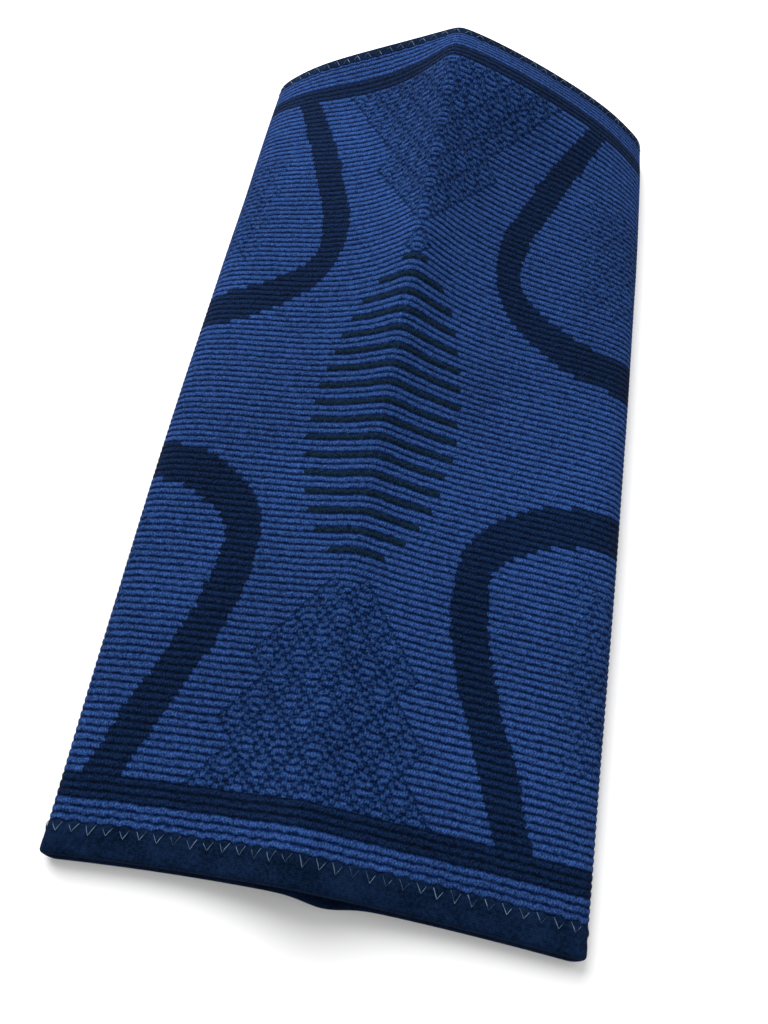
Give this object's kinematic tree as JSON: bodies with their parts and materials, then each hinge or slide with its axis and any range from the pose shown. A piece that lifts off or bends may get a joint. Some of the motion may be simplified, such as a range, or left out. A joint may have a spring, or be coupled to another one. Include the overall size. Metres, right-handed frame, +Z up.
{
  "type": "knee sleeve",
  "caption": "Elastic knitted knee sleeve lying flat with its front panel creased up along the middle, open at both ends, with folded bindings round the hems",
  "frame": {"origin": "middle of the bounding box at the level of the surface it lies on", "axes": "+Y along the sleeve from the calf end to the thigh end, +X to the right seen from above, +Z up"},
  "size_m": [0.1436, 0.2836, 0.0479],
  "materials": {
    "knit_blue": "ribbed elastic knit with dark bands",
    "binding_navy": "smooth elastic tape"
  },
  "bodies": {
    "root": {"knit_tube": "knit_blue", "calf_binding": "binding_navy", "thigh_binding": "binding_navy"}
  },
  "joints": []
}
